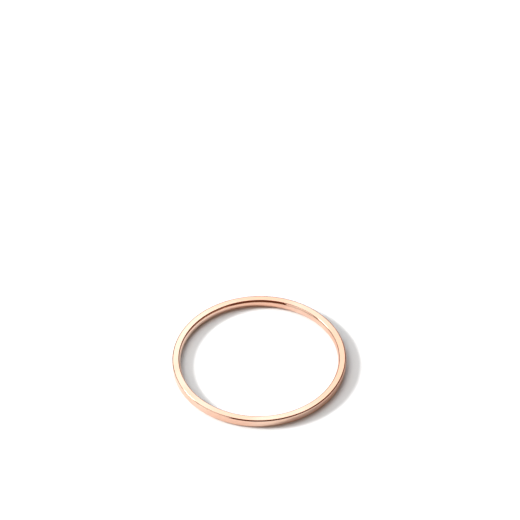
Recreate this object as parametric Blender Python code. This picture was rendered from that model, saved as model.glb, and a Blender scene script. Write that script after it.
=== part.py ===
"""Plain knuckle ring: one polished band of rectangular section, lying on its side.

The band is turned about Z from its section. It lies on its lower side face at z = 0, with the
middle of the finger hole on the Z axis, so the width of the band is its height here.
"""
import math

import bmesh
import bpy

MM = 0.001

# Driving dimensions
BORE_DIAMETER = 16.5 * MM        # finger hole
WALL_THICKNESS = 0.9 * MM        # from the finger hole to the outer wall
BAND_WIDTH = 1.0 * MM            # along the finger, upwards as the ring lies
INNER_EDGE_RADIUS = 0.27 * MM    # rounding of the two edges round the finger hole
OUTER_EDGE_RADIUS = 0.20 * MM    # rounding of the two outer edges

# How finely the round forms are divided
BAND_SEGMENTS = 144
EDGE_SEGMENTS = 4

# Polished rose gold
ROSE_GOLD = (0.82, 0.51, 0.40, 1.0)
ROSE_GOLD_ROUGHNESS = 0.06

BORE_RADIUS = BORE_DIAMETER / 2
OUTER_RADIUS = BORE_RADIUS + WALL_THICKNESS


def rounded_corner(centre_r, centre_z, radius, start_degrees):
    """Points of a quarter circle in the section, anticlockwise from the start angle."""
    points = []
    for step in range(EDGE_SEGMENTS + 1):
        angle = math.radians(start_degrees + 90 * step / EDGE_SEGMENTS)
        points.append((centre_r + radius * math.cos(angle), centre_z + radius * math.sin(angle)))
    return points


def band_section():
    """The closed outline of the section as (radius, height) points, anticlockwise."""
    inner_r = BORE_RADIUS + INNER_EDGE_RADIUS
    outer_r = OUTER_RADIUS - OUTER_EDGE_RADIUS
    return (
        rounded_corner(inner_r, INNER_EDGE_RADIUS, INNER_EDGE_RADIUS, 180)
        + rounded_corner(outer_r, OUTER_EDGE_RADIUS, OUTER_EDGE_RADIUS, 270)
        + rounded_corner(outer_r, BAND_WIDTH - OUTER_EDGE_RADIUS, OUTER_EDGE_RADIUS, 0)
        + rounded_corner(inner_r, BAND_WIDTH - INNER_EDGE_RADIUS, INNER_EDGE_RADIUS, 90)
    )


def turn_about_z(section, segments, name):
    """A mesh made by spinning a closed section once round the Z axis."""
    shape = bmesh.new()
    corners = [shape.verts.new((r, 0, z)) for r, z in section]
    outline = [shape.edges.new((corners[i - 1], corners[i])) for i in range(len(corners))]
    bmesh.ops.spin(
        shape,
        geom=corners + outline,
        cent=(0, 0, 0),
        axis=(0, 0, 1),
        angle=math.tau,
        steps=segments,
        use_merge=True,
    )
    bmesh.ops.recalc_face_normals(shape, faces=shape.faces)
    mesh = bpy.data.meshes.new(name)
    shape.to_mesh(mesh)
    shape.free()
    return mesh


def rose_gold():
    material = bpy.data.materials.new("rose_gold")
    material.use_nodes = True
    shader = material.node_tree.nodes["Principled BSDF"]
    shader.inputs["Base Color"].default_value = ROSE_GOLD
    shader.inputs["Metallic"].default_value = 1.0
    shader.inputs["Roughness"].default_value = ROSE_GOLD_ROUGHNESS
    material.diffuse_color = ROSE_GOLD
    return material


def build_band():
    mesh = turn_about_z(band_section(), BAND_SEGMENTS, "band")
    mesh.materials.append(rose_gold())
    mesh.shade_smooth()
    mesh.set_sharp_from_angle(angle=math.radians(30))
    band = bpy.data.objects.new("band", mesh)
    bpy.context.scene.collection.objects.link(band)
    return band


for old_object in list(bpy.data.objects):
    bpy.data.objects.remove(old_object)

build_band()
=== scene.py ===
"""The looks of the knuckle ring: its polished rose-gold band, the studio round it and the camera.

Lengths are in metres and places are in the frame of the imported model: the ring lies on its side on
the floor at z = 0, with the middle of its finger hole on the Z axis.
"""
import math

import bmesh
import bpy
from mathutils import Euler, Matrix, Vector


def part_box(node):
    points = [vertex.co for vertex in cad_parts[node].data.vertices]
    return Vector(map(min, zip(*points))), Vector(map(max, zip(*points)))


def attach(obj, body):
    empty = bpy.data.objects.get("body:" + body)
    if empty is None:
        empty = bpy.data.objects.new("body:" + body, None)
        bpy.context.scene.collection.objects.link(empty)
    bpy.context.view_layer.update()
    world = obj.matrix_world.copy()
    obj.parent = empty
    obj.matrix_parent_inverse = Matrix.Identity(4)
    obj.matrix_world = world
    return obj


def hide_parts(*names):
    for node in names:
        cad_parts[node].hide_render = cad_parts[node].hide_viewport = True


MM = 0.001

# Form of the band that the model's box doesn't give
INNER_EDGE_RADIUS = 0.18 * MM
OUTER_EDGE_RADIUS = 0.20 * MM
BOX_CLEARANCE = 0.0001 * MM       # keeps the turned band inside the model's box
SIDE_CROWN = math.radians(2.5)    # how far a polished side has turned where its edge starts
FINGER_CROWN = math.radians(34)   # the same for the wall round the finger, which is domed

# How finely the band is divided
BAND_SEGMENTS = 360
SIDE_STEPS = 8
EDGE_STEPS = 10

# Rose gold, and what polishing and wear leave on it. The deep and pale golds also carry painted light:
# the lit left is painted paler and the shaded right deeper. A range holds the noise where an effect
# sets in and where it is full.
GOLD_DEEP = (0.79, 0.465, 0.335, 1.0)
GOLD_PALE = (0.83, 0.60, 0.475, 1.0)
GOLD_WORN = (0.90, 0.62, 0.48, 1.0)
WEAR_AMOUNT = 0.5              # how far a worn edge goes towards its colour
TONE_LENGTH = 9.0 * MM         # size of a cloud of paler metal
TONE_SHIFT = (1.4, 8.3, 3.7)   # moves the clouds, in lengths of a cloud
PAINTED_LIGHT_LEAN = -14.0              # painted light: added to the clouds for each metre along X, the lit left paler, the shaded right deeper
TONE_AND_PAINTED_LIGHT_RANGE = (0.35, 0.65)
HAIRLINE_LENGTH = 4.0 * MM     # length of a polishing line, round the band
HAIRLINE_WIDTH = 0.035 * MM
HAIRLINE_DEPTH = 0.00004 * MM
RIPPLE_LENGTH = 1.6 * MM       # waves of the hand-polished surface
RIPPLE_DEPTH = 0.003 * MM
SCUFF_LENGTH = 0.12 * MM       # fine scuffs along the worn edges
SCUFF_RANGE = (0.40, 0.65)
SCUFF_LEAST = 0.3              # the wear that is left between the scuffs
WEAR_DULLNESS = 0.6            # how dull the most worn edge is, from 0 to 1
DULL_RANGE = (0.35, 0.70)
SMOOTHEST = 0.02
ROUGHEST = 0.06

# Sockets of a Mix node that mixes colours
MIX_COLOR_A = 6
MIX_COLOR_B = 7
MIX_RESULT = 2

# Camera, as the photograph was taken
PHOTO_PIXELS = 520
SENSOR_WIDTH = 36.0
FOCAL_PIXELS = 4990.8
CAMERA_PITCH = math.radians(45.065)     # below the horizon
CAMERA_ROLL = math.radians(0.945)       # clockwise
CAMERA_DEPTH = 523.5 * MM               # from the camera to the middle of the ring's upper face
RING_MIDDLE_PIXEL = (259.19, 357.29)    # where the middle of the upper face lies in the photograph
CLIP_START = 10 * MM
CLIP_END = 10000 * MM

# Studio: places and sizes in metres, powers in watts
WHITE_LIGHT = (1.0, 1.0, 1.0)
COOL_LIGHT = (0.95, 1.0, 1.02)
WARM_LIGHT = (1.0, 0.74, 0.60)
RIGHTWARD = Vector((1, 0, 0))
BACKWARD = Vector((0, 1, 0))
DOWNWARD = Vector((0, 0, -1))
KEY_PLACE = Vector((-0.765, 0.122, 0.458))
KEY_SIZE = (0.24, 0.12)
KEY_POWER = 10.0
GLINT_PLACE = Vector((-0.753, 0.074, 0.450))
GLINT_SIZE = (0.24, 0.20)
GLINT_POWER = 1.0
LEFT_PLACE = Vector((-1.0, 0.15, 0.60))
LEFT_SIZE = (0.9, 1.2)
LEFT_POWER = 1.4
FRONT_LEFT_PLACE = Vector((-1.0, -0.85, 0.80))
FRONT_LEFT_SIZE = (1.1, 1.6)
FRONT_LEFT_POWER = 5.2
BOX_PLACE = Vector((-0.25, 0.3625, 0.50))
BOX_SIZE = (1.0, 0.775)
BOX_POWER = 3.95
RIGHT_PLACE = Vector((1.2, -0.40, 0.32))
RIGHT_SIZE = (2.6, 0.60)
RIGHT_POWER = 0.8
NEAR_PLACE = Vector((0.0, -1.30, 0.34))
NEAR_SIZE = (2.2, 0.50)
NEAR_POWER = 0.15
FAR_PLACE = Vector((-0.40, 1.40, 0.40))
FAR_SIZE = (1.2, 0.75)
FAR_POWER = 0.8
FILL_PLACE = Vector((-0.28, 0.05, 0.53))
FILL_SIZE = (0.22, 0.22)
FILL_POWER = 0.6
BOUNCE_PLACE = Vector((-0.22, -0.46, 0.36))
BOUNCE_SIZE = (0.5, 0.3)
BOUNCE_POWER = 0.95
ROOM_COLOR = (1.0, 0.32, 0.12, 1.0)
ROOM_STRENGTH = 0.12
FLOOR_HALF_SIZE = 1.5
FLOOR_WHITE = (0.88, 0.88, 0.88, 1.0)
FLOOR_ROUGHNESS = 0.45


def section_quarter(half_depth, half_width, edge_radius, wall_crown):
    """A quarter of the band's section, from the middle of a wall to the middle of a side face.

    Wall and side face are flat arcs, which turn by their crown before the edge's rounding takes
    over, as polishing leaves it. Their radii are the two that close the quarter. Points are
    (out, up) from the middle of the section.
    """
    edge_start = wall_crown
    edge_end = math.pi / 2 - SIDE_CROWN
    depth_left = half_depth - edge_radius * (math.cos(edge_start) - math.cos(edge_end))
    width_left = half_width - edge_radius * (math.sin(edge_end) - math.sin(edge_start))
    wall_rise = 1 - math.cos(wall_crown)
    wall_run = math.sin(wall_crown)
    face_rise = 1 - math.cos(SIDE_CROWN)
    face_run = math.sin(SIDE_CROWN)
    spread = wall_run * face_run - wall_rise * face_rise
    wall_radius = (width_left * face_run - depth_left * face_rise) / spread
    face_radius = (depth_left * wall_run - width_left * wall_rise) / spread
    arcs = (
        (wall_radius, 0.0, edge_start, SIDE_STEPS),
        (edge_radius, edge_start, edge_end, EDGE_STEPS),
        (face_radius, edge_end, math.pi / 2, SIDE_STEPS),
    )
    out, up = half_depth, 0.0
    points = [(out, up)]
    for radius, start, end, steps in arcs:
        for step in range(1, steps + 1):
            before = start + (end - start) * (step - 1) / steps
            after = start + (end - start) * step / steps
            out += radius * (math.cos(after) - math.cos(before))
            up += radius * (math.sin(after) - math.sin(before))
            points.append((out, up))
    return points


def band_section(bore_radius, outer_radius, width):
    """The closed outline of the section as (radius, height) points."""
    middle_r = (bore_radius + outer_radius) / 2
    middle_z = width / 2
    half_depth = (outer_radius - bore_radius) / 2
    outer = section_quarter(half_depth, middle_z, OUTER_EDGE_RADIUS, SIDE_CROWN)
    inner = section_quarter(half_depth, middle_z, INNER_EDGE_RADIUS, FINGER_CROWN)
    outline = [(middle_r + out, middle_z + up) for out, up in outer]
    outline += [(middle_r - out, middle_z + up) for out, up in reversed(inner[:-1])]
    outline += [(middle_r - out, middle_z - up) for out, up in inner[1:]]
    outline += [(middle_r + out, middle_z - up) for out, up in reversed(outer[1:-1])]
    return outline


def make_band(section):
    """The finely divided band: the section spun once round Z."""
    shape = bmesh.new()
    corners = [shape.verts.new((r, 0, z)) for r, z in section]
    outline = [shape.edges.new((corners[i - 1], corners[i])) for i in range(len(corners))]
    bmesh.ops.spin(
        shape,
        geom=corners + outline,
        cent=(0, 0, 0),
        axis=(0, 0, 1),
        angle=math.tau,
        steps=BAND_SEGMENTS,
        use_merge=True,
    )
    bmesh.ops.recalc_face_normals(shape, faces=shape.faces)
    mesh = bpy.data.meshes.new("polished_band")
    shape.to_mesh(mesh)
    shape.free()
    mesh.shade_smooth()
    band = bpy.data.objects.new("polished_band", mesh)
    bpy.context.scene.collection.objects.link(band)
    return band


def add_node(material, kind, **settings):
    """A new node of a material, with its settings."""
    node = material.node_tree.nodes.new(kind)
    for name, value in settings.items():
        setattr(node, name, value)
    return node


def math_node(material, operation, first, second=None):
    """A Math node whose inputs are numbers or other nodes' outputs; returns its output."""
    node = add_node(material, "ShaderNodeMath", operation=operation)
    for socket, value in zip(node.inputs, (first, second)):
        if isinstance(value, bpy.types.NodeSocket):
            material.node_tree.links.new(value, socket)
        elif value is not None:
            socket.default_value = value
    return node.outputs["Value"]


def noise(material, place, feature_length, detail):
    """Noise from 0 to 1 whose features have a given size along the place vector."""
    node = add_node(material, "ShaderNodeTexNoise")
    node.inputs["Scale"].default_value = 1 / feature_length
    node.inputs["Detail"].default_value = detail
    material.node_tree.links.new(place, node.inputs["Vector"])
    return node.outputs["Fac"]


def ramp(material, value, value_range, least, most):
    """A smooth ramp from least to most while the value crosses its range."""
    node = add_node(material, "ShaderNodeMapRange", interpolation_type="SMOOTHSTEP")
    node.inputs["From Min"].default_value = value_range[0]
    node.inputs["From Max"].default_value = value_range[1]
    node.inputs["To Min"].default_value = least
    node.inputs["To Max"].default_value = most
    material.node_tree.links.new(value, node.inputs["Value"])
    return node.outputs["Result"]


def mixed_color(material, amount, first, second):
    """A colour between two, each a colour or another node's output."""
    node = add_node(material, "ShaderNodeMix", data_type="RGBA")
    material.node_tree.links.new(amount, node.inputs["Factor"])
    for socket, value in ((node.inputs[MIX_COLOR_A], first), (node.inputs[MIX_COLOR_B], second)):
        if isinstance(value, bpy.types.NodeSocket):
            material.node_tree.links.new(value, socket)
        else:
            socket.default_value = value
    return node.outputs[MIX_RESULT]


def bumped(material, height, depth, before=None):
    """A Bump node's normal, on top of another's."""
    node = add_node(material, "ShaderNodeBump")
    node.inputs["Strength"].default_value = 1.0
    node.inputs["Distance"].default_value = depth
    material.node_tree.links.new(height, node.inputs["Height"])
    if before:
        material.node_tree.links.new(before, node.inputs["Normal"])
    return node.outputs["Normal"]


def hairlines(material, place):
    """Fine polishing lines that run round the band, on its walls and its side faces alike."""
    parts = add_node(material, "ShaderNodeSeparateXYZ")
    material.node_tree.links.new(place, parts.inputs["Vector"])
    x, y, z = parts.outputs
    x_squared = math_node(material, "POWER", x, 2.0)
    y_squared = math_node(material, "POWER", y, 2.0)
    radius = math_node(material, "SQRT", math_node(material, "ADD", x_squared, y_squared))
    across = math_node(material, "ADD", radius, z)
    stretched = math_node(material, "MULTIPLY", across, HAIRLINE_LENGTH / HAIRLINE_WIDTH)
    streaked = add_node(material, "ShaderNodeCombineXYZ")
    for socket, value in zip(streaked.inputs, (x, y, stretched)):
        material.node_tree.links.new(value, socket)
    return noise(material, streaked.outputs["Vector"], HAIRLINE_LENGTH, detail=3.0)


def worn_edges(material, normal, place):
    """Where the rounded edges have rubbed: from 0 to 1, broken up by fine scuffs.

    With z the upward part of the normal, 4 z^2 (1 - z^2) is 0 on side faces and upright walls, and
    1 halfway round an edge.
    """
    parts = add_node(material, "ShaderNodeSeparateXYZ")
    material.node_tree.links.new(normal, parts.inputs["Vector"])
    upward = math_node(material, "POWER", parts.outputs["Z"], 2.0)
    outward = math_node(material, "SUBTRACT", 1.0, upward)
    rounding = math_node(material, "MULTIPLY", math_node(material, "MULTIPLY", upward, outward), 4.0)
    grain = noise(material, place, SCUFF_LENGTH, detail=2.0)
    scuffs = ramp(material, grain, SCUFF_RANGE, SCUFF_LEAST, 1.0)
    return math_node(material, "MULTIPLY", rounding, scuffs)


def rose_gold():
    """Polished rose gold, with the clouds, ripples, polishing lines and edge wear of a worn jewel, and
    painted light: paler on the lit left, deeper on the shaded right.
    """
    material = bpy.data.materials.new("rose_gold")
    material.use_nodes = True
    links = material.node_tree.links
    shader = material.node_tree.nodes["Principled BSDF"]
    shader.inputs["Metallic"].default_value = 1.0

    coordinates = add_node(material, "ShaderNodeTexCoord")
    place = coordinates.outputs["Object"]
    moved = add_node(material, "ShaderNodeMapping")
    moved.inputs["Location"].default_value = [shift * TONE_LENGTH for shift in TONE_SHIFT]
    links.new(place, moved.inputs["Vector"])
    clouds = noise(material, moved.outputs["Vector"], TONE_LENGTH, detail=2.0)
    lines = hairlines(material, place)
    wear = worn_edges(material, coordinates.outputs["Normal"], place)

    # Painted light: the gold is made paler towards the lit left and deeper towards the shaded right, on
    # top of the random clouds.
    sideways = add_node(material, "ShaderNodeSeparateXYZ")
    links.new(place, sideways.inputs["Vector"])
    painted_light_lean = math_node(material, "MULTIPLY", sideways.outputs["X"], PAINTED_LIGHT_LEAN)
    clouds_and_painted_light = math_node(material, "ADD", clouds, painted_light_lean)
    paleness_with_painted_light = ramp(material, clouds_and_painted_light, TONE_AND_PAINTED_LIGHT_RANGE, 0.0, 1.0)
    gold_with_painted_light = mixed_color(material, paleness_with_painted_light, GOLD_DEEP, GOLD_PALE)
    worn = math_node(material, "MULTIPLY", wear, WEAR_AMOUNT)
    links.new(mixed_color(material, worn, gold_with_painted_light, GOLD_WORN), shader.inputs["Base Color"])

    average = math_node(material, "MULTIPLY", math_node(material, "ADD", lines, clouds), 0.5)
    worn_dull = math_node(material, "MULTIPLY", wear, WEAR_DULLNESS)
    dull = math_node(material, "MAXIMUM", average, worn_dull)
    links.new(ramp(material, dull, DULL_RANGE, SMOOTHEST, ROUGHEST), shader.inputs["Roughness"])

    ripples = noise(material, place, RIPPLE_LENGTH, detail=1.0)
    rippled = bumped(material, ripples, RIPPLE_DEPTH)
    links.new(bumped(material, lines, HAIRLINE_DEPTH, rippled), shader.inputs["Normal"])
    return material


def floor_white():
    """Smooth white board."""
    material = bpy.data.materials.new("floor_white")
    material.use_nodes = True
    shader = material.node_tree.nodes["Principled BSDF"]
    shader.inputs["Base Color"].default_value = FLOOR_WHITE
    shader.inputs["Roughness"].default_value = FLOOR_ROUGHNESS
    return material


def make_floor():
    bpy.ops.mesh.primitive_plane_add(size=2 * FLOOR_HALF_SIZE, location=(0, 0, 0))
    floor = bpy.context.object
    floor.name = "floor"
    floor.data.materials.append(floor_white())


def area_light(name, place, facing, size, power, color=WHITE_LIGHT):
    """A rectangular soft light at a place, which shines in the facing direction."""
    light = bpy.data.lights.new(name, "AREA")
    light.shape = "RECTANGLE"
    light.size, light.size_y = size
    light.energy = power
    light.color = color
    lamp = bpy.data.objects.new(name, light)
    lamp.location = place
    lamp.rotation_euler = facing.to_track_quat("-Z", "Y").to_euler()
    bpy.context.scene.collection.objects.link(lamp)
    return lamp


def floor_lights():
    """A key from the left, a fill above and a warm bounce from the front, which no metal mirrors."""
    lamps = (
        area_light("key_light", KEY_PLACE, -KEY_PLACE, KEY_SIZE, KEY_POWER),
        area_light("fill_light", FILL_PLACE, -FILL_PLACE, FILL_SIZE, FILL_POWER),
        area_light("bounce_light", BOUNCE_PLACE, -BOUNCE_PLACE, BOUNCE_SIZE, BOUNCE_POWER, WARM_LIGHT),
    )
    for lamp in lamps:
        lamp.visible_glossy = False


def mirrored_panels():
    """Panels round the ring, which only the metal mirrors."""
    lamps = (
        area_light("glint_panel", GLINT_PLACE, -GLINT_PLACE, GLINT_SIZE, GLINT_POWER),
        area_light("left_panel", LEFT_PLACE, RIGHTWARD, LEFT_SIZE, LEFT_POWER, COOL_LIGHT),
        area_light(
            "front_left_panel", FRONT_LEFT_PLACE, RIGHTWARD, FRONT_LEFT_SIZE, FRONT_LEFT_POWER, COOL_LIGHT
        ),
        area_light("right_panel", RIGHT_PLACE, -RIGHTWARD, RIGHT_SIZE, RIGHT_POWER, WARM_LIGHT),
        area_light("near_panel", NEAR_PLACE, BACKWARD, NEAR_SIZE, NEAR_POWER, WARM_LIGHT),
        area_light("far_panel", FAR_PLACE, -BACKWARD, FAR_SIZE, FAR_POWER),
    )
    for lamp in lamps:
        lamp.visible_diffuse = False


def make_lights():
    """A soft box overhead, the lights of the floor, the panels of the metal and a dim warm room."""
    area_light("overhead_softbox", BOX_PLACE, DOWNWARD, BOX_SIZE, BOX_POWER, COOL_LIGHT)
    floor_lights()
    mirrored_panels()

    world = bpy.data.worlds.new("studio")
    bpy.context.scene.world = world
    world.use_nodes = True
    background = world.node_tree.nodes["Background"]
    background.inputs["Color"].default_value = ROOM_COLOR
    background.inputs["Strength"].default_value = ROOM_STRENGTH
    world.cycles_visibility.diffuse = False


def make_camera(target):
    """The photograph's camera, placed so that the target falls on the pixel where it lies there."""
    data = bpy.data.cameras.new("camera")
    data.sensor_width = SENSOR_WIDTH
    data.lens = FOCAL_PIXELS * SENSOR_WIDTH / PHOTO_PIXELS
    data.clip_start = CLIP_START
    data.clip_end = CLIP_END
    turn = Euler((math.pi / 2 - CAMERA_PITCH, 0, 0)).to_matrix() @ Matrix.Rotation(-CAMERA_ROLL, 3, "Z")
    across = (RING_MIDDLE_PIXEL[0] - PHOTO_PIXELS / 2) / FOCAL_PIXELS
    down = (RING_MIDDLE_PIXEL[1] - PHOTO_PIXELS / 2) / FOCAL_PIXELS
    sight_line = turn @ Vector((across, -down, -1))
    camera = bpy.data.objects.new("camera", data)
    camera.matrix_world = Matrix.Translation(target - sight_line * CAMERA_DEPTH) @ turn.to_4x4()
    bpy.context.scene.collection.objects.link(camera)
    bpy.context.scene.camera = camera


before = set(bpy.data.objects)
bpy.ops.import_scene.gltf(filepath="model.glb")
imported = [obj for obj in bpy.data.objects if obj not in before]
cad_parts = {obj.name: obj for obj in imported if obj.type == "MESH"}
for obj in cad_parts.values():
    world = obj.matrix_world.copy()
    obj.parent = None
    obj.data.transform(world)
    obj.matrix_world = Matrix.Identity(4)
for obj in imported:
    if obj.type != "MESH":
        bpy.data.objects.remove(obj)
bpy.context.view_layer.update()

_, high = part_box("band")
bore_radius = min(math.hypot(v.co.x, v.co.y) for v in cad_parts["band"].data.vertices)
band = make_band(band_section(bore_radius, high.x - BOX_CLEARANCE, high.z))
band.data.materials.append(rose_gold())
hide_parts("band")
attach(band, "root")

make_floor()
make_lights()
make_camera(Vector((0, 0, high.z)))

settings = bpy.context.scene.view_settings
settings.view_transform = "Standard"
settings.look = "None"
